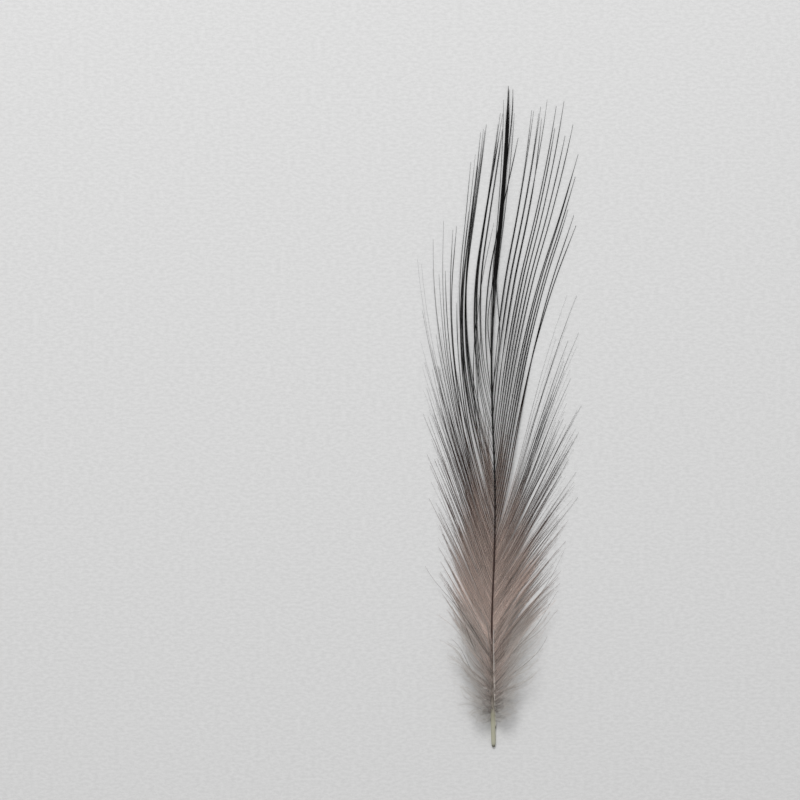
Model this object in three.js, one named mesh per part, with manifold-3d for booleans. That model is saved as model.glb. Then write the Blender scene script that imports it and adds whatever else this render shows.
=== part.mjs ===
// A heron's plume feather, lying flat: quill, shaft, small second shaft, downy base,
// brown-grey vane and long free black barbs, all grown as one piece.
// Millimetres. The quill's end is at -Y, the tip at +Y, and the surface it lies on is z = 0.

import * as THREE from 'three';
import { mergeVertices } from 'three/addons/utils/BufferGeometryUtils.js';
import Module from 'manifold-3d';

const wasm = await Module();
wasm.setup();

// Driving dimensions
const featherLength = 145.4;
const quillLength = 7.7;
const quillWidth = 1.0;

// The shaft's course, at equal steps from the quill's end to the tip: how far it wanders
// sideways, and how high its middle stands over the surface.
const shaftSideways = [0, -0.44, -0.44, 0.13, 0.22, -0.29, -0.48, 0.11, 1.57, 2.68, 3.26];
const shaftHeight = [0.4, 1.9, 2.3, 2.2, 1.95, 1.65, 1.4, 1.15, 0.9, 0.6, 0.2];

// The shaft's width, station by station from the quill's end. Above 85 mm the barbs that
// hug it count with it.
const shaftWidth = [
  { at: 0, width: 0.7 },
  { at: 1.2, width: quillWidth },
  { at: quillLength, width: quillWidth },
  { at: 14, width: 0.62 },
  { at: 30, width: 0.46 },
  { at: 62, width: 0.46 },
  { at: 78, width: 0.6 },
  { at: 98, width: 0.95 },
  { at: 132, width: 0.85 },
  { at: featherLength, width: 0.22 },
];

// What grows from each side of the shaft. At each station: the angle at which a barb leaves
// the shaft, the angle at its tip, both off the shaft's own direction there, and its length.
const rightBarbs = [
  { at: 8.6, leave: 58, tip: 70, length: 8 },
  { at: 14.7, leave: 42, tip: 48, length: 17 },
  { at: 23.5, leave: 34, tip: 39, length: 24 },
  { at: 32.3, leave: 29, tip: 36, length: 31 },
  { at: 40, leave: 24, tip: 26, length: 42 },
  { at: 44.5, leave: 20, tip: 20, length: 51 },
  { at: 46, leave: 15, tip: 12, length: 72 },
  { at: 54.3, leave: 11, tip: 14, length: 77 },
  { at: 62, leave: 9, tip: 9, length: 77 },
  { at: 79, leave: 4.5, tip: 4.5, length: 64 },
  { at: 82, leave: 1, tip: 1.5, length: 61 },
  { at: 94, leave: 0.6, tip: 0.6, length: 50 },
];
const leftBarbs = [
  { at: 8.6, leave: 58, tip: 66, length: 8 },
  { at: 14.7, leave: 40, tip: 42, length: 15 },
  { at: 23.5, leave: 30, tip: 28, length: 22 },
  { at: 32.3, leave: 26, tip: 20, length: 34 },
  { at: 40, leave: 23, tip: 13, length: 46 },
  { at: 45.5, leave: 21, tip: 5, length: 64 },
  { at: 54.3, leave: 19, tip: -2, length: 74 },
  { at: 62, leave: 17, tip: -4, length: 76 },
  { at: 70, leave: 14, tip: -6, length: 68 },
  { at: 78, leave: 10, tip: -7, length: 54 },
  { at: 82, leave: 1, tip: 0.6, length: 60 },
  { at: 94, leave: 0.4, tip: 0.4, length: 49 },
];

// The vane: locks of barbs that overlap near the shaft and part towards their tips.
const vane = { from: 8.6, to: 44.2, locks: 16, steps: 7, parting: 0.62, thickness: 1.3, tipThickness: 0.4 };
const valleyThickness = 0.45;

// The downy locks at the base are thicker than the vane above them, but for the lowest.
const downThickness = 3.4;
const downUpTo = 20;
const lowestShare = 0.4;
const lowestUpTo = 12;

// The plume: free strands of barbs, each its own way, and the few that hug the shaft.
const plume = { from: 46, to: 78, strands: 17, steps: 9 };
const hugging = { from: 84, to: 94, strands: 2, steps: 9 };
const strandSize = { root: 0.4, middle: 0.55, tip: 0.2 };

// How high the locks' and strands' tips lie over the surface, at their middle, and the share
// of the way out by which they are down there.
const tipHeight = 0.14;
const downBy = 0.62;

// The second shaft starts beside the quill and runs up close to the main one.
const secondShaft = { from: 4.2, to: 26, width: 0.36, gap: 0.55, spread: 1.1, drop: 0.4 };

const degrees = Math.PI / 180;
const { lerp, smoothstep, clamp } = THREE.MathUtils;

// A repeatable number from -1 to 1 for lock number n, so that no two locks are alike.
function vary(n) {
  const wave = Math.sin(n * 12.9898) * 43758.5453;
  return 2 * (wave - Math.floor(wave)) - 1;
}

// A smooth curve through values at equal steps, for t from 0 to 1.
function smoothThrough(values, t) {
  const last = values.length - 1;
  const place = clamp(t, 0, 1) * last;
  const i = Math.min(Math.floor(place), last - 1);
  const f = place - i;
  const before = values[Math.max(i - 1, 0)];
  const after = values[Math.min(i + 2, last)];
  const slopeIn = (values[i + 1] - before) / 2;
  const slopeOut = (after - values[i]) / 2;
  return (
    (2 * f ** 3 - 3 * f ** 2 + 1) * values[i] +
    (f ** 3 - 2 * f ** 2 + f) * slopeIn +
    (3 * f ** 2 - 2 * f ** 3) * values[i + 1] +
    (f ** 3 - f ** 2) * slopeOut
  );
}

// The value that key has at a station, read off rows sorted by station.
function readOff(rows, station, key) {
  const next = rows.findIndex((row) => row.at >= station);
  if (next < 0) return rows[rows.length - 1][key];
  if (next === 0) return rows[0][key];
  const share = (station - rows[next - 1].at) / (rows[next].at - rows[next - 1].at);
  return lerp(rows[next - 1][key], rows[next][key], share);
}

function shaftPoint(station) {
  const t = station / featherLength;
  return new THREE.Vector3(smoothThrough(shaftSideways, t), station, smoothThrough(shaftHeight, t));
}

// The shaft's direction at a station, as an angle to the right of +Y.
function shaftLean(station) {
  const reach = 2;
  const middle = clamp(station, reach, featherLength - reach);
  const run = shaftPoint(middle + reach).sub(shaftPoint(middle - reach));
  return Math.atan2(run.x, run.y);
}

// A barb's course from its root in the shaft: side is 1 on the right and -1 on the left.
// Barbs on the right turn evenly, and those on the left turn most near the root.
function barbRoute(side, station, seed, steps) {
  const rows = side > 0 ? rightBarbs : leftBarbs;
  const turn = 1.2 * vary(seed) * Math.min(1, readOff(rows, station, 'leave') / 5);
  const leave = readOff(rows, station, 'leave') + turn;
  const tip = readOff(rows, station, 'tip') + 2 * turn;
  const stride = readOff(rows, station, 'length') * (1 + 0.06 * vary(seed + 50)) / steps;
  const point = shaftPoint(station);
  const rootHeight = point.z;
  const route = [point.clone()];
  for (let i = 1; i <= steps; i += 1) {
    const middle = (i - 0.5) / steps;
    const turned = side > 0 ? middle : 1 - (1 - middle) ** 2;
    const angle = side * lerp(leave, tip, turned) * degrees + shaftLean(point.y);
    point.x += Math.sin(angle) * stride;
    point.y += Math.cos(angle) * stride;
    point.z = lerp(rootHeight, tipHeight, smoothstep(i / steps, 0, downBy));
    route.push(point.clone());
  }
  return route;
}

// A closed tapering strand along a route: an extruded section whose rings are moved onto the
// route's points. widthAt gives a ring's width for t from 0 to 1.
function strand(route, widthAt, sides) {
  const section = new THREE.Shape();
  for (let i = 0; i < sides; i += 1) {
    const turn = i * 2 * Math.PI / sides;
    const corner = [Math.cos(turn) / 2, Math.sin(turn) / 2];
    if (i === 0) section.moveTo(...corner);
    else section.lineTo(...corner);
  }
  const steps = route.length - 1;
  const geometry = new THREE.ExtrudeGeometry(section, { depth: 1, steps, bevelEnabled: false });
  const up = new THREE.Vector3(0, 0, 1);
  const position = geometry.getAttribute('position');
  for (let i = 0; i < position.count; i += 1) {
    const ring = Math.round(position.getZ(i) * steps);
    const ahead = route[Math.min(ring + 1, steps)];
    const behind = route[Math.max(ring - 1, 0)];
    const along = ahead.clone().sub(behind).normalize();
    const across = up.clone().cross(along).normalize();
    const rise = along.clone().cross(across);
    const width = widthAt(ring / steps);
    const point = route[ring]
      .clone()
      .addScaledVector(across, position.getX(i) * width)
      .addScaledVector(rise, position.getY(i) * width);
    position.setXYZ(i, point.x, point.y, Math.max(point.z, 0));
  }
  return geometry;
}

// A closed sheet over a grid of columns, each a row of points with a thickness, the rows
// running to +X and the columns to +Y. Its rim has walls, so that top and underside meet.
function sheet(columns) {
  const rows = columns[0].length;
  const positions = [];
  for (const { point, thickness } of columns.flat()) {
    positions.push(point.x, point.y, point.z + thickness / 2);
    positions.push(point.x, point.y, Math.max(point.z - thickness / 2, 0));
  }
  const top = (column, row) => 2 * (column * rows + row);
  const under = (column, row) => top(column, row) + 1;
  const index = [];
  const quad = (a, b, c, d) => index.push(a, b, c, a, c, d);
  const lastColumn = columns.length - 1;
  const lastRow = rows - 1;
  for (let c = 0; c < lastColumn; c += 1) {
    for (let r = 0; r < lastRow; r += 1) {
      quad(top(c, r), top(c, r + 1), top(c + 1, r + 1), top(c + 1, r));
      quad(under(c, r), under(c + 1, r), under(c + 1, r + 1), under(c, r + 1));
    }
    quad(under(c, lastRow), under(c + 1, lastRow), top(c + 1, lastRow), top(c, lastRow));
    quad(top(c, 0), top(c + 1, 0), under(c + 1, 0), under(c, 0));
  }
  for (let r = 0; r < lastRow; r += 1) {
    quad(under(0, r), under(0, r + 1), top(0, r + 1), top(0, r));
    quad(top(lastColumn, r), top(lastColumn, r + 1), under(lastColumn, r + 1), under(lastColumn, r));
  }
  const geometry = new THREE.BufferGeometry();
  geometry.setAttribute('position', new THREE.Float32BufferAttribute(positions, 3));
  geometry.setIndex(index);
  return geometry;
}

function stations({ from, to }, count) {
  return Array.from({ length: count }, (_, i) => lerp(from, to, i / (count - 1)));
}

// The way from the left tip of a lock through its root to the right tip, as a sheet's column.
// A share under 1 stops short of the tips.
function lockColumn(left, right, thickness, share) {
  const steps = left.length - 1;
  const column = [];
  for (let i = -steps; i <= steps; i += 1) {
    const t = Math.abs(i) / steps * share;
    const place = Math.min(t * steps, steps - 1e-6);
    const route = i < 0 ? left : right;
    const point = route[Math.floor(place)].clone().lerp(route[Math.floor(place) + 1], place % 1);
    column.push({ point, thickness: lerp(thickness, vane.tipThickness, smoothstep(t, 0.25, 1)) });
  }
  return column;
}

// The vane. Each lock is a ridge, and between two locks runs a thin valley that ends where
// they part, so that the sheet's edges are toothed with the locks' free ends.
function vaneSheet() {
  const thicknessAt = (station) =>
    lerp(downThickness, vane.thickness, smoothstep(station, vane.from, downUpTo)) *
    lerp(lowestShare, 1, smoothstep(station, vane.from, lowestUpTo));
  const locks = stations(vane, vane.locks).map((station, i) => ({
    left: barbRoute(-1, station, 31 + i, vane.steps),
    right: barbRoute(1, station, 1 + i, vane.steps),
    thickness: thicknessAt(station),
  }));
  const between = (route, other) => route.map((point, i) => point.clone().lerp(other[i], 0.5));
  const columns = [];
  locks.forEach(({ left, right, thickness }, i) => {
    columns.push(lockColumn(left, right, thickness, 1));
    if (i === locks.length - 1) return;
    const next = locks[i + 1];
    const valley = [between(left, next.left), between(right, next.right)];
    columns.push(lockColumn(...valley, thickness * valleyThickness, vane.parting));
  });
  return sheet(columns);
}

function freeStrands(side, group, seed) {
  const widthAt = (t) => {
    const swell = lerp(strandSize.root, strandSize.middle, smoothstep(t, 0, 0.3));
    return lerp(swell, strandSize.tip, smoothstep(t, 0.5, 1));
  };
  return stations(group, group.strands).map((station, i) =>
    strand(barbRoute(side, station, seed + i, group.steps), widthAt, 4),
  );
}

function mainShaft() {
  const steps = 30;
  const route = [];
  for (let i = 0; i <= steps; i += 1) route.push(shaftPoint(featherLength * i / steps));
  return strand(route, (t) => readOff(shaftWidth, t * featherLength, 'width'), 8);
}

function secondShaftPoint(station) {
  const point = shaftPoint(station);
  const out = (station - secondShaft.from) / (secondShaft.to - secondShaft.from);
  point.x += secondShaft.gap + secondShaft.spread * out ** 2;
  point.z -= secondShaft.drop * out;
  return point;
}

function smallShaft() {
  const steps = 8;
  const route = [];
  for (let i = 0; i <= steps; i += 1) {
    route.push(secondShaftPoint(lerp(secondShaft.from, secondShaft.to, i / steps)));
  }
  return strand(route, (t) => secondShaft.width * (1 - 0.6 * t), 6);
}

function solidOf(geometry) {
  geometry.deleteAttribute('normal');
  geometry.deleteAttribute('uv');
  const merged = mergeVertices(geometry, 1e-4);
  return new wasm.Manifold(
    new wasm.Mesh({
      numProp: 3,
      vertProperties: Float32Array.from(merged.getAttribute('position').array),
      triVerts: Uint32Array.from(merged.index.array),
    }),
  );
}

function geometryOf(solid) {
  const mesh = solid.getMesh();
  const geometry = new THREE.BufferGeometry();
  geometry.setAttribute('position', new THREE.BufferAttribute(mesh.vertProperties, 3));
  geometry.setIndex(new THREE.BufferAttribute(mesh.triVerts, 1));
  geometry.computeVertexNormals();
  return geometry;
}

const growth = [
  mainShaft(),
  smallShaft(),
  vaneSheet(),
  ...freeStrands(1, plume, 61),
  ...freeStrands(-1, plume, 81),
  ...freeStrands(1, hugging, 101),
  ...freeStrands(-1, hugging, 111),
];

let feather = solidOf(growth[0]);
for (const geometry of growth.slice(1)) feather = feather.add(solidOf(geometry));

// Pockets shut in between crossing strands are filled: only the outer skin is kept.
const skins = feather.decompose();
feather = skins.reduce((most, skin) => (skin.volume() > most.volume() ? skin : most));

const geometry = geometryOf(feather);
geometry.computeBoundingBox();
const middle = geometry.boundingBox.getCenter(new THREE.Vector3());
geometry.translate(-middle.x, -middle.y, 0);

const keratin = new THREE.MeshStandardMaterial({ color: 0x6a5d56, roughness: 0.7, metalness: 0 });
const mesh = new THREE.Mesh(geometry, keratin);
mesh.name = 'feather';

const group = new THREE.Group();
group.add(mesh);

export default group;
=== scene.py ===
# A heron's plume feather lying flat on pale paper: quill, shaft, small second shaft, downy
# base, brown-grey vane and long free black barbs, grown barb by barb along the same courses
# as its solid. The shape is worked out in millimetres from the quill's end.

import math

import bpy
from bpy.props import FloatProperty, FloatVectorProperty, IntProperty, PointerProperty
from bpy.types import Operator, Panel, PropertyGroup
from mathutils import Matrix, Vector


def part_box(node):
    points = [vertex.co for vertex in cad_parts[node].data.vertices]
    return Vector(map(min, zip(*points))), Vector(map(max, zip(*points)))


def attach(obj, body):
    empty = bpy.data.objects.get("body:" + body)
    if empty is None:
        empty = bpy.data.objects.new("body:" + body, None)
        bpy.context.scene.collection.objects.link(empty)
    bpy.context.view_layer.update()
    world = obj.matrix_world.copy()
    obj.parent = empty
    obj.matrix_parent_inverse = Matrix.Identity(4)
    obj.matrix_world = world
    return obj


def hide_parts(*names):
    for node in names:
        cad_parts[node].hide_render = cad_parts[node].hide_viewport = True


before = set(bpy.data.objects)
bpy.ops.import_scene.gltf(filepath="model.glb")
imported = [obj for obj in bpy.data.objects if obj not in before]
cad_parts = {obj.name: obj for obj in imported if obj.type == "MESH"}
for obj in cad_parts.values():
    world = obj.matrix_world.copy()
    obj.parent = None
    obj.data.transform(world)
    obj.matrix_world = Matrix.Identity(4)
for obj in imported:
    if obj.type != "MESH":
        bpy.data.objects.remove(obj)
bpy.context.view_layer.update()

bl_info = {
    "name": "Heron feather",
    "version": (1, 0, 0),
    "blender": (4, 5, 0),
    "location": "3D View > Sidebar > Feather",
    "description": "Grows a heron's plume feather, barb by barb, over its solid",
    "category": "Mesh",
}


def table(keys, *rows):
    """Rows of numbers as dicts with these keys."""
    return [dict(zip(keys.split(), row)) for row in rows]


millimetre = 0.001
body = "root"
solid = "feather"
lowest_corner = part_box(solid)[0]

# The quill's end, in millimetres from the lowest corner of the solid's box.
quill_end_from_corner = (14.589, 0.031)

# Driving dimensions, the same as the solid's.
feather_length = 145.4
quill_length = 7.7
quill_width = 1.0

# The shaft's course, at equal steps from the quill's end to the tip: how far it wanders
# sideways, and how high its middle stands over the surface.
shaft_sideways = [0, -0.44, -0.44, 0.13, 0.22, -0.29, -0.48, 0.11, 1.57, 2.68, 3.26]
shaft_height = [0.4, 1.9, 2.3, 2.2, 1.95, 1.65, 1.4, 1.15, 0.9, 0.6, 0.2]

# Stations along the shaft, with the shaft's own width there and the width of the bundle
# that it makes with the barbs that hug it.
shaft_rows = table(
    "at width bundle",
    (0, 0.7, 0.7),
    (1.2, quill_width, 1.0),
    (quill_length, quill_width, 1.0),
    (9, 0.66, 0.66),
    (14, 0.5, 0.52),
    (30, 0.38, 0.46),
    (45, 0.34, 0.46),
    (62, 0.38, 0.46),
    (78, 0.44, 0.6),
    (98, 0.4, 0.78),
    (110, 0.33, 0.95),
    (132, 0.2, 0.85),
    (feather_length, 0.08, 0.22),
)

# What grows from each side of the shaft. At each station: the angle at which a barb leaves
# the shaft, the angle at its tip, both off the shaft's own direction there, and its length.
right_barbs = table(
    "at leave tip length",
    (8.6, 58, 70, 8),
    (14.7, 42, 48, 17),
    (23.5, 34, 39, 24),
    (32.3, 29, 36, 31),
    (40, 24, 26, 42),
    (44.5, 20, 20, 51),
    (46, 12.6, 14.4, 72),
    (54.3, 12, 13, 77),
    (62, 10.6, 7.4, 77),
    (70, 8, 5.8, 71),
    (79, 4.5, 4.5, 64),
    (82, 1, 1.5, 61),
    (94, 0.6, 0.6, 50),
)
left_barbs = table(
    "at leave tip length",
    (8.6, 58, 66, 8),
    (14.7, 40, 42, 15),
    (23.5, 30, 28, 22),
    (32.3, 26, 20, 34),
    (40, 23, 13, 46),
    (45.5, 21, 5, 64),
    (54.3, 19, -2, 74),
    (62, 17, -4, 76),
    (70, 14, -6, 68),
    (78, 10, -7, 54),
    (82, 1, 0.6, 60),
    (94, 0.4, 0.4, 49),
)

# Locks of the vane, of which the lowest are down, and short ones above them.
vane_from, vane_to, vane_locks = 8.6, 44.2, 16
down_locks, upper_locks = 4, 6
lock_gap = (vane_to - vane_from) / (vane_locks - 1)

# Free barbs. The lowest on the right stand alone, and the others cling together in pairs.
plume_from, plume_to, plume_strands = 46, 78, 17
right_singles = 11

# Each side, with its name and its first seed, for the locks and for the free barbs.
lock_sides = [(1, "right", 1), (-1, "left", 31)]
plume_sides = [(1, "right", 61), (-1, "left", 81)]

# Barbs that lie along the upper shaft: two on each side, with their stations and first seeds,
# and a bundle, with the stations between which its barbs start, and where it has closed up.
hugging_stations = [84, 94]
hugging_sides = [(1, 101), (-1, 111)]
bundle_from, bundle_to, bundled_from = 60, 122, 105

# A barb's root lies this share of the shaft's width out from its middle, and this far down.
root_share, root_drop = 0.3, 0.12

# How high the barbs' tips lie over the surface, the share of the way out by which the barbs
# are down there, and the height that nothing dips under.
tip_height, down_by, clearance = 0.14, 0.62, 0.02

# How far a lock may turn off its row's angles, in degrees, and how far off its row's length
# it may be, as a share.
most_turn, most_stretch = 1.2, 0.06

# The second shaft starts beside the quill and runs up close to the main one.
second_from, second_to = 4.2, 26
second_width = 0.36
second_gap, second_closing, second_rise = 0.55, 0.12, 0.1

# By how far up the feather they grow: the barbules' length, and how far from the shaft they
# fade out.
barbule_rows = table(
    "at length reach",
    (8, 1.4, 12),
    (16, 1.2, 13),
    (24, 1.0, 17),
    (40, 0.8, 17),
    (50, 0.7, 11),
    (62, 0.7, 8),
    (72, 0.45, 8),
    (80, 0, 8),
)

# The shares of the way out between which a barb of the down turns pale.
pale_outward, always_pale, never_pale = (0.1, 0.7), (-1, 0), (1, 2)

# The view: the photographed frame, straight down, and how wide it is on the surface.
frame_width = 176
frame_middle = (-20.57, 76.34)
lens, sensor = 100, 36

# The stage, in metres: the sheet, a soft lamp over its far left and an even glow all round.
sheet_reach = 1.0
lamp_place, lamp_size, lamp_energy = (-0.14, 0.58, 0.75), 0.4, 5.4
glow_strength = 0.45


def linear(code):
    """A colour written as an ordinary 0xRRGGBB code, as the linear numbers that light uses."""
    channels = [(code >> shift & 255) / 255 for shift in (16, 8, 0)]
    return [c / 12.92 if c <= 0.04045 else ((c + 0.055) / 1.055) ** 2.4 for c in channels]


def length_property(name, description, millimetres):
    return FloatProperty(
        name=name,
        description=description,
        default=millimetres * millimetre,
        min=0,
        precision=6,
        unit="LENGTH",
    )


def count_property(name, description, count, least=0):
    return IntProperty(name=name, description=description, default=count, min=least)


def colour_property(name, description, code):
    return FloatVectorProperty(
        name=name,
        description=description,
        default=linear(code),
        size=3,
        min=0,
        max=1,
        subtype="COLOR",
    )


class FeatherSizes(PropertyGroup):
    strong_barb: length_property("Strong barb", "Thickness of a free black barb", 0.25)
    fine_barb: length_property("Fine barb", "Thickness of the thinner free barbs", 0.14)
    firm_barb: length_property("Firm barb", "Thickness of the vane's stronger barbs", 0.115)
    vane_barb: length_property("Vane barb", "Thickness of a soft barb of the vane", 0.06)
    down_barb: length_property("Down barb", "Thickness of a barb of the down", 0.1)
    vane_barbule_gap: length_property("Vane barbule gap", "Between a vane barb's barbules", 0.08)
    down_barbule_gap: length_property("Down barbule gap", "Between a down barb's barbules", 0.08)
    plume_barbule_gap: length_property("Plume barbule gap", "Between a free barb's barbules", 0.06)
    shaft_barbule_gap: length_property("Shaft barbule gap", "Between those along the shaft", 0.2)
    barbs_in_lock: count_property("Barbs in a lock", "How many barbs a lock has", 13, 1)
    fine_barbs: count_property("Fine barbs", "How many beside each lower left pair", 2)
    hugging_barbs: count_property("Hugging barbs", "How many lie along the shaft", 26)


class FeatherColours(PropertyGroup):
    quill: colour_property("Quill", "The bare horn of the quill", 0xB7B6A2)
    pale_shaft: colour_property("Pale shaft", "The shaft just above the quill", 0xC9C5B8)
    brown: colour_property("Brown", "The shaft and barbs half way up the vane", 0x45302A)
    black: colour_property("Black", "The upper shaft and the free barbs", 0x0E0D0D)
    down: colour_property("Down", "The downy barbs at the base", 0xE0DDD9)
    vane: colour_property("Vane", "The soft barbs of the vane", 0xF3DED3)
    paper: colour_property("Paper", "The sheet the feather lies on", 0xE6E6E6)


class Value:
    """A number that comes out of a node, which Python's operators add Math nodes to."""

    def __init__(self, graph, socket):
        self.graph = graph
        self.socket = socket

    def beside(self, output):
        """Another output of the same node."""
        return Value(self.graph, self.socket.node.outputs[output])

    def math(self, operation, *others):
        inputs = dict(enumerate([self, *others]))
        return self.graph.add("ShaderNodeMath", {"operation": operation}, inputs)

    def __add__(self, other):
        return self.math("ADD", other)

    def __sub__(self, other):
        return self.math("SUBTRACT", other)

    def __rsub__(self, other):
        return self * -1 + other

    def __mul__(self, other):
        return self.math("MULTIPLY", other)

    __radd__ = __add__
    __rmul__ = __mul__

    def __truediv__(self, other):
        return self.math("DIVIDE", other)

    def __mod__(self, other):
        return self.math("MODULO", other)

    def smooth_step(self, low, high):
        """0 below low and 1 above high, with a soft way between."""
        settings = {"interpolation_type": "SMOOTHSTEP"}
        inputs = {"Value": self, "From Min": low, "From Max": high}
        return self.graph.add("ShaderNodeMapRange", settings, inputs)


class Graph:
    """A node tree under construction."""

    def __init__(self, tree):
        self.tree = tree

    def add(self, kind, settings=None, inputs=None, output=0):
        """Adds a node: first its settings, then the values or links of its sockets."""
        node = self.tree.nodes.new(kind)
        for name, setting in (settings or {}).items():
            if name == "stops":
                self.set_stops(node.color_ramp, setting)
            else:
                setattr(node, name, setting)
        for key, value in (inputs or {}).items():
            self.feed(node.inputs[key], value)
        return Value(self, node.outputs[output]) if node.outputs else None

    def feed(self, socket, value):
        if isinstance(value, Value):
            self.tree.links.new(value.socket, socket)
        else:
            socket.default_value = value

    def set_stops(self, ramp, stops):
        while len(ramp.elements) < len(stops):
            ramp.elements.new(1)
        for element, (place, colour) in zip(ramp.elements, stops):
            element.position = place
            element.color = (*colour, 1)

    def blend(self, first, second, share, kind="MIX"):
        settings = {"data_type": "RGBA", "blend_type": kind}
        return self.add("ShaderNodeMix", settings, {0: share, 6: first, 7: second}, 2)

    def vector(self, operation, *vectors, **scale):
        inputs = {**dict(enumerate(vectors)), **scale}
        return self.add("ShaderNodeVectorMath", {"operation": operation}, inputs)


def lerp(first, second, share):
    return first + (second - first) * share


def smooth_step(value, low, high):
    share = min(max((value - low) / (high - low), 0), 1)
    return share * share * (3 - 2 * share)


def vary(n):
    """A repeatable number from -1 to 1 for number n, so that no two barbs are alike."""
    wave = math.sin(n * 12.9898) * 43758.5453
    return 2 * (wave - math.floor(wave)) - 1


def smooth_through(values, t):
    """A smooth curve through values at equal steps, for t from 0 to 1."""
    last = len(values) - 1
    place = min(max(t, 0), 1) * last
    i = min(math.floor(place), last - 1)
    f = place - i
    slope_in = (values[i + 1] - values[max(i - 1, 0)]) / 2
    slope_out = (values[min(i + 2, last)] - values[i]) / 2
    return (
        (2 * f**3 - 3 * f**2 + 1) * values[i]
        + (f**3 - 2 * f**2 + f) * slope_in
        + (3 * f**2 - 2 * f**3) * values[i + 1]
        + (f**3 - f**2) * slope_out
    )


def read_off(rows, station, key):
    """The value that key has at a station, read off rows sorted by station."""
    if station <= rows[0]["at"]:
        return rows[0][key]
    for before, after in zip(rows, rows[1:]):
        if station <= after["at"]:
            share = (station - before["at"]) / (after["at"] - before["at"])
            return lerp(before[key], after[key], share)
    return rows[-1][key]


def shaft_point(station):
    t = station / feather_length
    return Vector((smooth_through(shaft_sideways, t), station, smooth_through(shaft_height, t)))


def second_shaft_point(station):
    point = shaft_point(station)
    out = (station - second_from) / (second_to - second_from)
    point.x += second_gap - second_closing * out**2
    point.z += second_rise * out
    return point


def shaft_lean(station):
    """The shaft's direction at a station, as an angle to the right of +Y."""
    reach = 2
    middle = min(max(station, reach), feather_length - reach)
    run = shaft_point(middle + reach) - shaft_point(middle - reach)
    return math.atan2(run.x, run.y)


def barb_course(
    side, station, turn, stretch, steps=16, lift=0, root=shaft_point, end_height=tip_height, late=0
):
    """A barb's course from its root in the shaft: side is 1 on the right and -1 on the left,
    and lift is how far it arches up. Barbs on the right bend evenly, and those on the left
    most near the root. With late at 1, the turn off the row's angles is nothing at the root."""
    rows = right_barbs if side > 0 else left_barbs
    leave = read_off(rows, station, "leave") + (1 - late) * turn
    tip = read_off(rows, station, "tip") + (2 + late) * turn
    stride = read_off(rows, station, "length") * stretch / steps
    point = root(station)
    point.x += side * root_share * read_off(shaft_rows, station, "width")
    point.z -= root_drop
    root_height = point.z
    course = [point.copy()]
    for i in range(1, steps + 1):
        middle = (i - 0.5) / steps
        turned = middle if side > 0 else 1 - (1 - middle) ** 2
        angle = side * math.radians(lerp(leave, tip, turned)) + shaft_lean(point.y)
        point.x += math.sin(angle) * stride
        point.y += math.cos(angle) * stride
        along = i / steps
        height = lerp(root_height, end_height, smooth_step(along, 0, down_by))
        point.z = height + lift * math.sin(math.pi * along**0.7)
        course.append(point.copy())
    return course


def lock_habit(side, station, seed):
    """How far a lock turns off its row's angles, and how much longer than its row it is."""
    rows = right_barbs if side > 0 else left_barbs
    turn = most_turn * vary(seed) * min(1, read_off(rows, station, "leave") / 5)
    return turn, 1 + most_stretch * vary(seed + 50)


def drawn_to(course, ridge, share):
    """The course, drawn towards a lock's ridge more and more on its way out."""
    last = len(course) - 1
    return [
        point.lerp(aim, share * smooth_step(i / last, 0.2, 0.9))
        for i, (point, aim) in enumerate(zip(course, ridge))
    ]


def waved(course, seed, size, waves):
    """The course with soft waves in it, larger towards its free end."""
    last = len(course) - 1
    phase = math.pi * vary(seed)
    result = []
    for i, point in enumerate(course):
        along = i / last
        swing = size * along * math.sin(2 * math.pi * waves * along + phase)
        rise = size * along * math.sin(2 * math.pi * waves * along + 2 * phase)
        ahead = course[min(i + 1, last)] - course[max(i - 1, 0)]
        across = Vector((ahead.y, -ahead.x, 0)).normalized()
        result.append(point + across * swing + Vector((0, 0, abs(rise))))
    return result


class Courses:
    """Barbs' courses gathered in one mesh of edges, with what each point says of its barb."""

    def __init__(self):
        self.points = []
        self.edges = []
        names = ("thickness", "along", "pale", "tone", "root", "barbule")
        self.marks = {name: [] for name in names}

    def add(self, course, thickness, profile, tone, barbules, paling=pale_outward):
        """Adds a barb. Its thickness in metres follows profile, which takes the share of the
        way out, as barbules does, the barbules' length in millimetres at a point. In the down
        it turns pale between the two shares of the way out that paling gives."""
        first = len(self.points)
        last = len(course) - 1
        for i, point in enumerate(course):
            along = i / last
            self.points.append(placed(point))
            self.marks["thickness"].append(thickness / 2 * profile(along))
            self.marks["along"].append(along)
            self.marks["pale"].append(smooth_step(along, *paling))
            self.marks["tone"].append(tone)
            self.marks["root"].append(course[0].y / feather_length)
            self.marks["barbule"].append(barbules(along, point) * millimetre)
        self.edges += [(first + i, first + i + 1) for i in range(last)]


def placed(point):
    """A point in millimetres from the quill's end, in metres in the part's frame."""
    return (
        lowest_corner.x + (quill_end_from_corner[0] + point.x) * millimetre,
        lowest_corner.y + (quill_end_from_corner[1] + point.y) * millimetre,
        lowest_corner.z + point.z * millimetre,
    )


def new_thing(name, points, edges, faces, marks):
    """A new object, with a number for each point under each mark's name."""
    mesh = bpy.data.meshes.new(name)
    mesh.from_pydata(points, edges, faces)
    for mark, values in marks.items():
        mesh.attributes.new(mark, "FLOAT", "POINT").data.foreach_set("value", values)
    thing = bpy.data.objects.new(name, mesh)
    bpy.context.scene.collection.objects.link(thing)
    return thing


def geometry_tree(name, numbers):
    """A new tree of geometry nodes, with courses, these numbers and a material to fill in."""
    tree = bpy.data.node_groups.new(name, "GeometryNodeTree")
    tree.interface.new_socket("Geometry", in_out="OUTPUT", socket_type="NodeSocketGeometry")
    for label, kind in {"Courses": "Geometry", **numbers, "Material": "Material"}.items():
        tree.interface.new_socket(label, in_out="INPUT", socket_type="NodeSocket" + kind)
    graph = Graph(tree)
    return graph, graph.add("NodeGroupInput")


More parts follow.
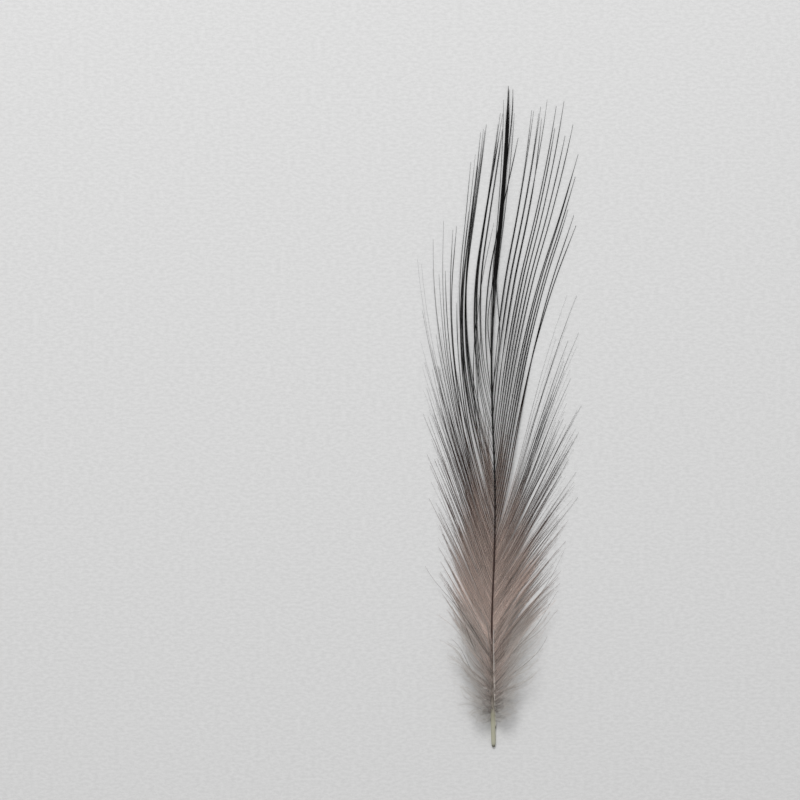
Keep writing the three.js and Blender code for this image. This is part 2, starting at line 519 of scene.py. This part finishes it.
def close_tree(graph, geometry, given):
    """Ends a tree: instances are made real, nothing dips under the surface, and the material
    is set."""
    real = graph.add("GeometryNodeRealizeInstances", {}, {"Geometry": geometry})
    place = graph.add("ShaderNodeSeparateXYZ", {}, {0: graph.add("GeometryNodeInputPosition")})
    height = place.beside("Z").math("MAXIMUM", clearance * millimetre)
    lifted = graph.add("ShaderNodeCombineXYZ", {}, {0: place, 1: place.beside("Y"), 2: height})
    rested = graph.add("GeometryNodeSetPosition", {}, {"Geometry": real, "Position": lifted})
    smooth = graph.add("GeometryNodeSetShadeSmooth", {}, {"Geometry": rested})
    inputs = {"Geometry": smooth, "Material": given.beside("Material")}
    done = graph.add("GeometryNodeSetMaterial", {}, inputs)
    graph.add("NodeGroupOutput", {}, {0: done})
    return graph.tree


def marked(graph, name):
    return graph.add("GeometryNodeInputNamedAttribute", {"data_type": "FLOAT"}, {"Name": name})


def barb_tree():
    """Courses become tapering round barbs with closed ends."""
    graph, given = geometry_tree("Barbs", {"Sides": "Int"})
    curves = graph.add("GeometryNodeMeshToCurve", {}, {"Mesh": given})
    inputs = {"Resolution": given.beside("Sides"), "Radius": 1}
    section = graph.add("GeometryNodeCurvePrimitiveCircle", {}, inputs)
    inputs = {"Curve": curves, "Profile Curve": section, "Fill Caps": True}
    inputs["Scale"] = marked(graph, "thickness")
    barbs = graph.add("GeometryNodeCurveToMesh", {}, inputs)
    return close_tree(graph, barbs, given)


def barbule_tree():
    """Courses bear barbules: fine needles to both sides, by turns, that lean towards the tip."""
    numbers = dict.fromkeys(("Gap", "Slenderness", "Spread", "Lift", "Bend"), "Float")
    numbers |= dict.fromkeys(("Segments", "Seed"), "Int")
    graph, given = geometry_tree("Barbules", numbers)
    curves = graph.add("GeometryNodeMeshToCurve", {}, {"Mesh": given})
    inputs = {"Curve": curves, "Length": given.beside("Gap")}
    points = graph.add("GeometryNodeCurveToPoints", {"mode": "LENGTH"}, inputs)

    def chance(low, high, number):
        seed = given.beside("Seed") + number
        return graph.add("FunctionNodeRandomValue", {}, {2: low, 3: high, "Seed": seed}, 1)

    side = 1 - 2 * (graph.add("GeometryNodeInputIndex") % 2)
    spread = given.beside("Spread") * chance(0.7, 1.3, 1)
    lift = given.beside("Lift") * chance(-1, 1, 2)
    ahead = points.beside("Tangent")
    up = (0, 0, 1)
    across = graph.vector("NORMALIZE", graph.vector("CROSS_PRODUCT", ahead, up))
    forward = graph.vector("SCALE", ahead, Scale=spread.math("COSINE"))
    outward = graph.vector("SCALE", across, Scale=side * spread.math("SINE"))
    upward = graph.add("ShaderNodeCombineXYZ", {}, {2: lift.math("SINE")})
    direction = graph.vector("ADD", graph.vector("ADD", forward, outward), upward)
    roll = graph.add("FunctionNodeAxisAngleToRotation", {}, {"Angle": chance(0, 2 * math.pi, 3)})
    inputs = {"Vector": direction, "Rotation": roll}
    turned = graph.add("FunctionNodeAlignRotationToVector", {"axis": "Z"}, inputs)
    long = marked(graph, "barbule") * chance(0.65, 1.15, 4)
    inputs = {
        "Vertices": 3,
        "Side Segments": given.beside("Segments"),
        "Radius Top": 0,
        "Radius Bottom": given.beside("Slenderness"),
        "Depth": 1,
    }
    needle = graph.add("GeometryNodeMeshCone", {"fill_type": "NGON"}, inputs)
    here = graph.add("GeometryNodeInputPosition")
    height = graph.add("ShaderNodeSeparateXYZ", {}, {0: here}, "Z")
    bend = graph.add("ShaderNodeCombineXYZ", {}, {0: given.beside("Bend") * height * height})
    bent = graph.add("GeometryNodeSetPosition", {}, {"Geometry": needle, "Offset": bend})
    shortest = 0.06 * millimetre
    inputs = {
        "Points": points,
        "Selection": long.math("GREATER_THAN", shortest),
        "Instance": bent,
        "Rotation": turned,
        "Scale": long,
    }
    barbules = graph.add("GeometryNodeInstanceOnPoints", {}, inputs)
    return close_tree(graph, barbules, given)


def tree_called(name, make):
    return bpy.data.node_groups.get(name) or make()


def grown(name, courses, tree, inputs):
    """Runs a node tree over courses, and keeps the result as a plain mesh."""
    piece = new_thing(name, courses.points, courses.edges, [], courses.marks)
    source = piece.data
    modifier = piece.modifiers.new(tree.name, "NODES")
    modifier.node_group = tree
    for item in tree.interface.items_tree:
        if item.name in inputs:
            modifier[item.identifier] = inputs[item.name]
    graph = bpy.context.evaluated_depsgraph_get()
    mesh = bpy.data.meshes.new_from_object(
        piece.evaluated_get(graph), preserve_all_data_layers=True, depsgraph=graph
    )
    piece.modifiers.remove(modifier)
    piece.data = mesh
    mesh.name = name
    bpy.data.meshes.remove(source)
    if not mesh.polygons:
        raise RuntimeError(f"{name} came out empty")
    join_feather(piece)


def join_feather(piece):
    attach(piece, body)
    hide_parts(solid)


def material_graph(name, roughness, specular):
    """A new material, and its shader, whose constant numbers are on the shader's own sockets."""
    material = bpy.data.materials.new(name)
    material.use_nodes = True
    graph = Graph(material.node_tree)
    shader = material.node_tree.nodes["Principled BSDF"]
    shader.inputs["Roughness"].default_value = roughness
    shader.inputs["Specular IOR Level"].default_value = specular
    return material, graph, shader


def up_the_feather(graph):
    """How far up the feather a point lies, from 0 at the quill's end to 1 at the tip."""
    place = graph.add("ShaderNodeTexCoord", output="Object")
    here = graph.add("ShaderNodeSeparateXYZ", {}, {0: place})
    start = placed(Vector((0, 0, 0)))[1]
    return (here.beside("Y") - start) / (feather_length * millimetre)


def noise(graph, scale, detail=2, stretch=(1, 1, 1)):
    """Soft noise from 0 to 1 over the piece. Scale counts blotches to the metre."""
    inputs = {"Vector": graph.add("ShaderNodeTexCoord", output="Object"), "Scale": stretch}
    place = graph.add("ShaderNodeMapping", {}, inputs)
    return graph.add("ShaderNodeTexNoise", {}, {"Vector": place, "Scale": scale, "Detail": detail})


def attribute(graph, name):
    return graph.add("ShaderNodeAttribute", {"attribute_name": name}, output="Fac")


def colour_at(graph, stops, height):
    """The colour at a height up the feather, from 0 to 1, with its stops in millimetres."""
    places = [(at / feather_length, colour) for at, colour in stops]
    return graph.add("ShaderNodeValToRGB", {"stops": places}, {"Fac": height})


def pigment(graph, stops, strength, height):
    """Colour by a height up the feather, with a wandering edge, lighter or darker by barb."""
    wander = 0.05 * (noise(graph, 160) - 0.5)
    colour = colour_at(graph, stops, height + wander)
    light = 1 + strength * (attribute(graph, "tone") - 0.5)
    shade = graph.add("ShaderNodeCombineColor", {}, {0: light, 1: light, 2: light})
    return graph.blend(colour, shade, 1, "MULTIPLY")


def mixed(first, second, share):
    return [lerp(a, b, share) for a, b in zip(first, second)]


def paled_outward(graph, colour, most):
    """In the down, a barb and its barbules turn pale on their way out, by most at the end."""
    colours = bpy.context.scene.feather_colours
    low_down = 1 - up_the_feather(graph).smooth_step(20 / feather_length, 36 / feather_length)
    share = attribute(graph, "pale") * low_down * most
    return graph.blend(colour, (*colours.down, 1), share)


def barb_material():
    """The barbs: grey at the base, brown in the vane and black above it. A barb takes its
    colour from where it grows, and darkens on its way out."""
    colours = bpy.context.scene.feather_colours
    material, graph, shader = material_graph("Barbs", 0.55, 0.12)
    stops = [
        (6, mixed(colours.down, colours.brown, 0.6)),
        (20, mixed(colours.vane, colours.brown, 0.55)),
        (34, mixed(colours.vane, colours.brown, 0.7)),
        (48, mixed(colours.vane, colours.brown, 0.95)),
        (60, mixed(colours.brown, colours.black, 0.8)),
        (70, colours.black),
    ]
    height = attribute(graph, "root") * (1 + 0.65 * attribute(graph, "along"))
    colour = paled_outward(graph, pigment(graph, stops, 1.3, height), 0.65)
    graph.feed(shader.inputs["Base Color"], colour)
    return material


def barbule_material():
    """The barbules, paler than the barbs that bear them."""
    colours = bpy.context.scene.feather_colours
    material, graph, shader = material_graph("Barbules", 0.8, 0.1)
    stops = [
        (8, mixed(colours.down, colours.vane, 0.3)),
        (18, mixed(colours.down, colours.vane, 0.7)),
        (34, colours.vane),
        (54, mixed(colours.vane, colours.brown, 0.15)),
        (70, mixed(colours.vane, colours.brown, 0.5)),
        (90, mixed(colours.brown, colours.black, 0.5)),
    ]
    colour = paled_outward(graph, pigment(graph, stops, 0.9, up_the_feather(graph)), 1)
    graph.feed(shader.inputs["Base Color"], colour)
    return material


def shaft_material():
    """Horn: a greenish quill, a pale stretch of shaft that soon turns brown and then black."""
    colours = bpy.context.scene.feather_colours
    stops = [
        (0, colours.quill),
        (7.4, colours.quill),
        (8.2, mixed(colours.pale_shaft, colours.brown, 0.2)),
        (11, mixed(colours.pale_shaft, colours.brown, 0.65)),
        (18, mixed(colours.pale_shaft, colours.brown, 0.8)),
        (24, colours.brown),
        (44, mixed(colours.brown, colours.black, 0.5)),
        (60, colours.black),
    ]
    return horn_material("Horn", stops)


def pale_horn_material():
    """The second shaft, pale all the way up."""
    colours = bpy.context.scene.feather_colours
    return horn_material("Pale horn", [(0, colours.pale_shaft), (24, colours.down)])


def horn_material(name, stops):
    """Horn coloured by the height up the feather, finely streaked lengthwise, with painted shade
    in pores.
    """
    material, graph, shader = material_graph(name, 0.4, 0.3)
    horn = colour_at(graph, stops, up_the_feather(graph) + 0.01 * (noise(graph, 300) - 0.5))
    grain = noise(graph, 1500, 3, (1, 0.05, 1))
    # The near-black is painted shade, laid where the rings say a pore's hollow is.
    streak, dark = (0.5, 0.46, 0.36, 1), (0.03, 0.025, 0.02, 1)
    streaked = graph.blend(horn, streak, 0.35 * grain.smooth_step(0.45, 0.75), "MULTIPLY")
    coloured = graph.blend(streaked, dark, attribute(graph, "pit"))
    graph.feed(shader.inputs["Base Color"], coloured)
    bump = graph.add("ShaderNodeBump", {}, {"Strength": 0.3, "Distance": 0.00003, "Height": grain})
    graph.feed(shader.inputs["Normal"], bump)
    return material


def material_called(name, make):
    return bpy.data.materials.get(name) or make()


def ring_at(middle, width, height=None, **more):
    return {"middle": middle, "width": width, "height": height or width, **more}


def add_tube(name, rings, sides, material):
    """A closed tube of horn through rings, darkened by painted shade where a ring lies in or
    beside a pore, and with a groove along its underside where a ring says so."""
    points = []
    pore_shades = []
    last = len(rings) - 1
    for i, ring in enumerate(rings):
        ahead = rings[min(i + 1, last)]["middle"] - rings[max(i - 1, 0)]["middle"]
        along = ring.get("facing", ahead.normalized())
        across = along.cross(Vector((0, 0, 1))).normalized()
        rise = across.cross(along)
        for k in range(sides):
            turn = 2 * math.pi * k / sides
            groove = 1 - ring.get("groove", 0) * max(-math.sin(turn), 0) ** 6
            corner = (
                ring["middle"]
                + across * math.cos(turn) * ring["width"] / 2
                + rise * math.sin(turn) * groove * ring["height"] / 2
            )
            corner.z = max(corner.z, clearance)
            points.append(placed(corner))
            # How much of a pore's painted shade this ring carries.
            pore_shades.append(ring["pit"])
    faces = []
    for low in range(0, last * sides, sides):
        for k in range(sides):
            after = (k + 1) % sides
            faces.append((low + k, low + sides + k, low + sides + after, low + after))
    faces.append(tuple(range(sides)))
    faces.append(tuple(last * sides + k for k in reversed(range(sides))))
    piece = new_thing(name, points, [], faces, {"pit": pore_shades})
    piece.data.shade_smooth()
    piece.data.materials.append(material)
    join_feather(piece)


class FEATHER_OT_shaft(Operator):
    """Makes the quill, with the pore in its end, and the shaft up to the tip"""

    bl_idname = "feather.shaft"
    bl_label = "Shaft"

    def execute(self, context):
        rings = self.pore_rings() + self.outer_rings()
        add_tube("shaft", rings, 16, material_called("Horn", shaft_material))
        return {"FINISHED"}

    def pore_rings(self):
        """From the bottom of the pore in the quill's end, out over its rim, with painted shade in
        the pore and half as much on its rim.
        """
        facing = (shaft_point(1) - shaft_point(0)).normalized()
        width = shaft_rows[0]["width"]
        steps = [(0.6, 0.14, 1), (0.6, 0.2, 1), (0.1, 0.24, 1), (0.02, 0.34, 0.5), (0.06, 0.56, 0)]
        return [
            ring_at(shaft_point(0) + facing * depth, width * share, facing=facing, pit=dark)
            for depth, share, dark in steps
        ]

    def outer_rings(self):
        count = 260
        rings = []
        for i in range(count + 1):
            station = lerp(0.25, feather_length, i / count)
            width = read_off(shaft_rows, station, "width")
            height = width * lerp(1, 0.92, smooth_step(station, quill_length, 20))
            groove = 0.3 * smooth_step(station, quill_length, quill_length + 6)
            # Painted shade of the pore, carried over the outside of the quill's end and gone by
            # 0.9 mm up.
            pit = 0.9 * (1 - smooth_step(station, 0.4, 0.9))
            rings.append(ring_at(shaft_point(station), width, height, groove=groove, pit=pit))
        return rings


class FEATHER_OT_second_shaft(Operator):
    """Makes the small pale second shaft that grows beside the main one"""

    bl_idname = "feather.second_shaft"
    bl_label = "Second shaft"

    def execute(self, context):
        count = 60
        rings = []
        for i in range(count + 1):
            out = i / count
            width = second_width * (1 - 0.75 * out) * smooth_step(out, -0.03, 0.06)
            middle = second_shaft_point(lerp(second_from, second_to, out))
            # Its first rings carry painted shade, as of the pore where it starts.
            rings.append(ring_at(middle, width, pit=1 - smooth_step(out, 0.01, 0.04)))
        material = material_called("Pale horn", pale_horn_material)
        add_tube("second_shaft", rings, 10, material)
        return {"FINISHED"}


def free_profile(along):
    """A free barb's thickness on its way out, as a share of its greatest."""
    swell = lerp(0.55, 1, smooth_step(along, 0, 0.3))
    taper = lerp(1, 0.35, smooth_step(along, 0.88, 1))
    return lerp(swell, 0.75, smooth_step(along, 0.45, 0.85)) * taper


def vane_profile(along):
    """A soft barb's thickness on its way out, as a share of that at its root."""
    return lerp(1, 0.3, smooth_step(along, 0.2, 1))


def barbule_length(point):
    """Barbules are long near the shaft and fade out away from it."""
    reach = read_off(barbule_rows, point.y, "reach")
    away = abs(point.x - shaft_point(point.y).x)
    return read_off(barbule_rows, point.y, "length") * (1 - smooth_step(away, 0.3 * reach, reach))


def needles(gap, slenderness, spread, lift, seed, bend=0.0, segments=1):
    """What barbules are told: their gap in metres, their thickness as a share of their length,
    how far they spread and lift, in degrees, and how far they bend, as a share too."""
    return {
        "Gap": gap,
        "Slenderness": slenderness,
        "Spread": math.radians(spread),
        "Lift": math.radians(lift),
        "Seed": seed,
        "Bend": bend,
        "Segments": segments,
    }


def grow_both(name, courses, sides, barbules):
    """Makes the barbs of some courses, with this many sides, and their barbules, as two pieces."""
    inputs = {"Sides": sides, "Material": material_called("Barbs", barb_material)}
    grown(name, courses, tree_called("Barbs", barb_tree), inputs)
    inputs = {**barbules, "Material": material_called("Barbules", barbule_material)}
    grown(f"{name}_barbules", courses, tree_called("Barbules", barbule_tree), inputs)


class FEATHER_OT_free_barbs(Operator):
    """Makes the long free barbs: strong ones, and on the left fine ones between them"""

    bl_idname = "feather.free_barbs"
    bl_label = "Free black barbs"

    def execute(self, context):
        sizes = context.scene.feather_sizes
        for side, name, seed in plume_sides:
            courses = self.courses(side, seed, sizes)
            barbules = needles(sizes.plume_barbule_gap, 0.018, 30, 15, seed)
            grow_both(f"free_barbs_{name}", courses, 5, barbules)
        return {"FINISHED"}

    def courses(self, side, seed, sizes):
        """The right's barbs stand more evenly than the left's."""
        courses = Courses()
        gap = (plume_to - plume_from) / (plume_strands - 1)
        share, late, singles = (0.6, 1, right_singles) if side > 0 else (1, 0, 0)
        strands = []
        for strand in range(plume_strands):
            station = plume_from + gap * strand
            turn, stretch = lock_habit(side, station, seed + strand)
            strands.append(barb_course(side, station, share * turn, stretch, 44, late=late))
        for first in range(singles):
            self.add_group(courses, strands[first : first + 1], seed + first, sizes)
        for first in range(singles, plume_strands, 2):
            self.add_group(courses, strands[first : first + 2], seed + first, sizes)
        if side < 0:
            for first in range(0, plume_strands // 2, 2):
                for number in range(sizes.fine_barbs):
                    self.add_fine(courses, side, plume_from + gap * (first + number), seed, sizes)
        return courses

    def add_group(self, courses, group, seed, sizes):
        """Strong barbs that cling together but for their roots and their tips, on the upper
        shaft sooner than on the lower."""
        middle = [sum(points, Vector()) / len(points) for points in zip(*group)]
        cling_from = lerp(0.2, 0.02, smooth_step(middle[0].y, 50, 64))
        for number, own in enumerate(group):
            thickness = sizes.strong_barb * (1 if len(group) == 1 else 0.7)
            thickness *= 1 + 0.15 * vary(seed + number + 7)
            aside = (number - (len(group) - 1) / 2) * thickness / millimetre
            fray = 0.35 + 0.35 * vary(seed + number + 17)
            course = []
            for i, (point, shared) in enumerate(zip(own, middle)):
                along = i / (len(own) - 1)
                together = smooth_step(along, cling_from, cling_from + 0.35)
                apart = 1 - together + fray * smooth_step(along, 0.7, 1)
                course.append(shared.lerp(point, apart) + Vector((aside, 0, 0)))
            tone = 0.35 + 0.15 * vary(seed + number + 11)
            courses.add(course, thickness, free_profile, tone, self.barbules)

    def add_fine(self, courses, side, station, seed, sizes):
        own = 31 * seed + 7 * station
        turn = 1.5 * vary(own + 3)
        stretch = lerp(0.5, 1.0, 0.5 + 0.5 * vary(own + 5))
        course = barb_course(side, station + vary(own), turn, stretch, 36, 0.25 * vary(own + 6))
        thickness = sizes.fine_barb * (1 + 0.3 * vary(own + 9))
        tone = 0.55 + 0.4 * vary(own + 13)
        courses.add(course, thickness, free_profile, tone, self.barbules)

    def barbules(self, along, point):
        return barbule_length(point) * smooth_step(along, 0, 0.02)


class FEATHER_OT_hugging_barbs(Operator):
    """Makes the barbs that lie along the upper shaft and thicken it to the tip"""

    bl_idname = "feather.hugging_barbs"
    bl_label = "Barbs on the shaft"

    def execute(self, context):
        sizes = context.scene.feather_sizes
        courses = Courses()
        for side, seed in hugging_sides:
            for number, station in enumerate(hugging_stations):
                turn, stretch = lock_habit(side, station, seed + number)
                course = barb_course(side, station, turn, stretch, 40)
                courses.add(course, sizes.fine_barb, free_profile, 0.4, self.barbules)
        for number in range(sizes.hugging_barbs):
            self.add_hugging(courses, number, sizes)
        barbules = needles(sizes.shaft_barbule_gap, 0.03, 12, 10, 5)
        grow_both("shaft_barbs", courses, 5, barbules)
        return {"FINISHED"}

    def add_hugging(self, courses, number, sizes):
        """One barb on its own line round the shaft, from its root to a free end near the tip."""
        share = (number + 0.5) / sizes.hugging_barbs
        start = lerp(bundle_from, bundle_to, share**0.35)
        end = feather_length - 0.5 - 8 * (0.5 + 0.5 * vary(number + 201)) ** 2
        turn = 2.4 * number
        bulge = 1.6 * max(0, 1 - 6 * share)
        splay = 1.1 * max(0, vary(number + 231)) if number % 4 == 0 else 0
        thickness = 0.7 * sizes.strong_barb
        steps = 40
        course = []
        for i in range(steps + 1):
            station = lerp(start, end, i / steps)
            width = read_off(shaft_rows, station, "bundle") - thickness / millimetre
            reach = width / 2 * smooth_step(station - start, 0, 12)
            closing = min(1, (station - start) / (bundled_from - start))
            swing = bulge * math.sin(math.pi * closing) ** 2
            point = shaft_point(station)
            point.x += (reach + swing) * math.cos(turn) + splay * smooth_step(station, 124, end)
            point.z += 0.6 * reach * math.sin(turn)
            course.append(point)
        courses.add(course, thickness, self.profile, 0.3 + 0.2 * vary(number), self.barbules)

    def profile(self, along):
        return lerp(1, 0.4, smooth_step(along, 0.7, 1))

    def barbules(self, along, point):
        return 0.22 * (1 - smooth_step(along, 0.6, 1))


class FEATHER_OT_vane(Operator):
    """Makes the brown-grey vane, lock by lock, with its barbules"""

    bl_idname = "feather.vane"
    bl_label = "Vane"

    def execute(self, context):
        sizes = context.scene.feather_sizes
        lower = range(down_locks, vane_locks)
        upper = range(vane_locks, vane_locks + upper_locks)
        for side, name, seed in lock_sides:
            barbules = needles(sizes.vane_barbule_gap, 0.018, 24, 7, 10 * seed)
            for kind, locks in (("vane", lower), ("upper_vane", upper)):
                courses = self.courses(side, seed, sizes, locks)
                grow_both(f"{kind}_{name}", courses, 4, barbules)
        return {"FINISHED"}

    def courses(self, side, seed, sizes, locks):
        courses = Courses()
        for lock in locks:
            upper = lock >= vane_locks
            count = sizes.barbs_in_lock // 3 if upper else sizes.barbs_in_lock
            middle = vane_from + lock_gap * lock
            turn, stretch = lock_habit(side, middle, seed + lock)
            ridge = barb_course(side, middle, 1.5 * turn, stretch, 18)
            turn *= lerp(0.8, 0.35, smooth_step(middle, 16, 26))
            cling = lerp(0.25, 0.02, smooth_step(middle, 18, 28))
            lock_tone = 0.5 + 0.12 * vary(seed + lock + 300)
            for number in range(count):
                own = 53 * (seed + lock) + number
                station = middle + lock_gap * ((number + 0.5) / count - 0.5)
                strong = number % 3 == 1 and not upper
                longest = 0.22 if upper else 1 if strong else 0.9
                own_turn = turn + (1 if strong else 2.5) * vary(own)
                reach = longest * stretch * (0.95 + 0.2 * vary(own + 1))
                course = barb_course(side, station, own_turn, reach, 18, 0.35 * vary(own + 2))
                if not upper:
                    course = drawn_to(course, ridge, cling)
                course = waved(course, own + 8, 0.2, 0.8)
                tone = lock_tone + 0.4 * vary(own + 5)
                if strong:
                    tone = lock_tone - 0.2 + 0.2 * vary(own + 5)
                    courses.add(course, sizes.firm_barb, self.strong_profile, tone, self.barbules)
                else:
                    courses.add(course, sizes.vane_barb, vane_profile, tone, self.barbules)
        return courses

    def strong_profile(self, along):
        swell = lerp(0.85, 1, smooth_step(along, 0.1, 0.5))
        return lerp(swell, 0.3, smooth_step(along, 0.6, 1))

    def barbules(self, along, point):
        return barbule_length(point) * (1 - smooth_step(along, 0.6, 1))


class FEATHER_OT_down(Operator):
    """Makes the soft waving down at the base, of the shaft and of the second shaft"""

    bl_idname = "feather.down"
    bl_label = "Down"

    def execute(self, context):
        sizes = context.scene.feather_sizes
        for side, name, seed in lock_sides:
            courses = self.courses(side, seed, sizes)
            barbules = needles(sizes.down_barbule_gap, 0.012, 38, 40, 10 * seed + 5, 0.25, 2)
            grow_both(f"down_{name}", courses, 4, barbules)
        return {"FINISHED"}

    def courses(self, side, seed, sizes):
        courses = Courses()
        count = sizes.barbs_in_lock
        for lock in range(down_locks):
            middle = vane_from + lock_gap * lock
            turn, stretch = lock_habit(side, middle, seed + lock)
            for number in range(count):
                own = 71 * (seed + lock) + number
                station = middle + lock_gap * ((number + 0.5) / count - 0.5)
                self.add_barb(courses, side, station, turn, stretch, own, sizes, shaft_point)
        for number in range(2 * count):
            own = 91 * seed + number
            station = lerp(second_from + 4, second_to - 2, (number + 0.5) / (2 * count))
            self.add_barb(courses, side, station, 0, 0.6, own, sizes, second_shaft_point)
        for number in range(count):
            own = 83 * seed + number
            station = lerp(quill_length - 2, quill_length + 2, (number + 0.5) / count)
            self.add_barb(courses, side, station, 14, 0.6, own, sizes, shaft_point, always_pale)
        for number in range(3):
            self.add_stray(courses, side, 12 + 4 * number, 67 * seed + number, sizes)
        return courses

    def add_stray(self, courses, side, station, own, sizes):
        """A long bare barb that stands out from the down."""
        course = barb_course(side, station, 10 * vary(own), 1.35 + 0.15 * vary(own + 1), 20, 1.5)
        course = waved(course, own, 1.2, 0.8)
        courses.add(course, sizes.firm_barb, vane_profile, 0, lambda along, point: 0, never_pale)

    def add_barb(
        self, courses, side, station, turn, stretch, own, sizes, root, paling=pale_outward
    ):
        """A barb of the down. The lowest are the palest, and rise the most on their way out."""
        raised = 1 - smooth_step(station, 10, 18)
        turn = turn + 8 * vary(own) - 4
        stretch *= lerp(0.8, 1, smooth_step(station, 9, 17)) + 0.3 * vary(own + 1)
        lift = lerp(0.9, 0.3, raised)
        lift += lift * vary(own + 2)
        end_height = lerp(1.2, 3.8, raised) + 0.7 * vary(own + 3)
        course = barb_course(side, station, turn, stretch, 16, lift, root, end_height)
        course = waved(course, own, 0.6, 1.3)
        tone = 0.45 + 0.45 * vary(own + 5)
        courses.add(course, sizes.down_barb, vane_profile, tone, self.barbules, paling)

    def barbules(self, along, point):
        return read_off(barbule_rows, point.y, "length") * (1 - 0.3 * smooth_step(along, 0.5, 1))


def paper_material():
    """Pale paper with a faint grain of fibres."""
    colours = bpy.context.scene.feather_colours
    material, graph, shader = material_graph("Paper", 0.9, 0.2)
    fibres = noise(graph, 1800, 4, (0.5, 1, 1))
    specks = noise(graph, 4000, 3)
    shade = fibres * 0.6 + specks * 0.4
    dull = mixed(colours.paper, (0, 0, 0), 0.1)
    colour = graph.blend((*colours.paper, 1), (*dull, 1), shade.smooth_step(0.35, 0.65))
    graph.feed(shader.inputs["Base Color"], colour)
    bump = graph.add("ShaderNodeBump", {}, {"Strength": 0.25, "Distance": 0.0001, "Height": shade})
    graph.feed(shader.inputs["Normal"], bump)
    return material


class FEATHER_OT_stage(Operator):
    """Lays out the paper, the soft light and the camera straight above"""

    bl_idname = "feather.stage"
    bl_label = "Paper, light and camera"

    def execute(self, context):
        self.add_paper()
        self.add_light(context)
        self.add_camera(context)
        context.scene.view_settings.view_transform = "Standard"
        return {"FINISHED"}

    def add_paper(self):
        signs = [(-1, -1), (1, -1), (1, 1), (-1, 1)]
        corners = [(x * sheet_reach, y * sheet_reach, 0) for x, y in signs]
        paper = new_thing("paper", corners, [], [(0, 1, 2, 3)], {})
        paper.data.materials.append(material_called("Paper", paper_material))

    def add_light(self, context):
        world = bpy.data.worlds.new("Studio")
        world.use_nodes = True
        background = world.node_tree.nodes["Background"]
        background.inputs["Color"].default_value = (1, 1, 1, 1)
        background.inputs["Strength"].default_value = glow_strength
        context.scene.world = world
        light = bpy.data.lights.new("window", "AREA")
        light.shape = "SQUARE"
        light.size = lamp_size
        light.energy = lamp_energy
        lamp = bpy.data.objects.new("window", light)
        lamp.location = lamp_place
        lamp.rotation_euler = (-lamp.location).to_track_quat("-Z", "Y").to_euler()
        context.scene.collection.objects.link(lamp)

    def add_camera(self, context):
        camera = bpy.data.cameras.new("camera")
        camera.lens = lens
        camera.sensor_width = sensor
        camera.clip_start = 0.01
        holder = bpy.data.objects.new("camera", camera)
        distance = frame_width * lens / sensor
        holder.location = placed(Vector((*frame_middle, distance)))
        context.scene.collection.objects.link(holder)
        context.scene.camera = holder


class FEATHER_PT_parts(Panel):
    """Lists what the feather is made of"""

    bl_label = "Heron feather"
    bl_idname = "FEATHER_PT_parts"
    bl_space_type = "VIEW_3D"
    bl_region_type = "UI"
    bl_category = "Feather"

    def draw(self, context):
        column = self.layout.column()
        for group in (context.scene.feather_sizes, context.scene.feather_colours):
            for name in group.__annotations__:
                column.prop(group, name)
        for operator in operators:
            column.operator(operator.bl_idname)


groups = {"feather_sizes": FeatherSizes, "feather_colours": FeatherColours}
operators = [
    FEATHER_OT_stage,
    FEATHER_OT_shaft,
    FEATHER_OT_second_shaft,
    FEATHER_OT_free_barbs,
    FEATHER_OT_hugging_barbs,
    FEATHER_OT_vane,
    FEATHER_OT_down,
]


def register():
    for cls in (*groups.values(), *operators, FEATHER_PT_parts):
        bpy.utils.register_class(cls)
    for name, group in groups.items():
        setattr(bpy.types.Scene, name, PointerProperty(type=group))


def unregister():
    for name in groups:
        delattr(bpy.types.Scene, name)
    for cls in (FEATHER_PT_parts, *reversed(operators), *reversed(groups.values())):
        bpy.utils.unregister_class(cls)


def main():
    register()
    for operator in operators:
        module, name = operator.bl_idname.split(".")
        getattr(getattr(bpy.ops, module), name)()


if __name__ == "__main__":
    main()
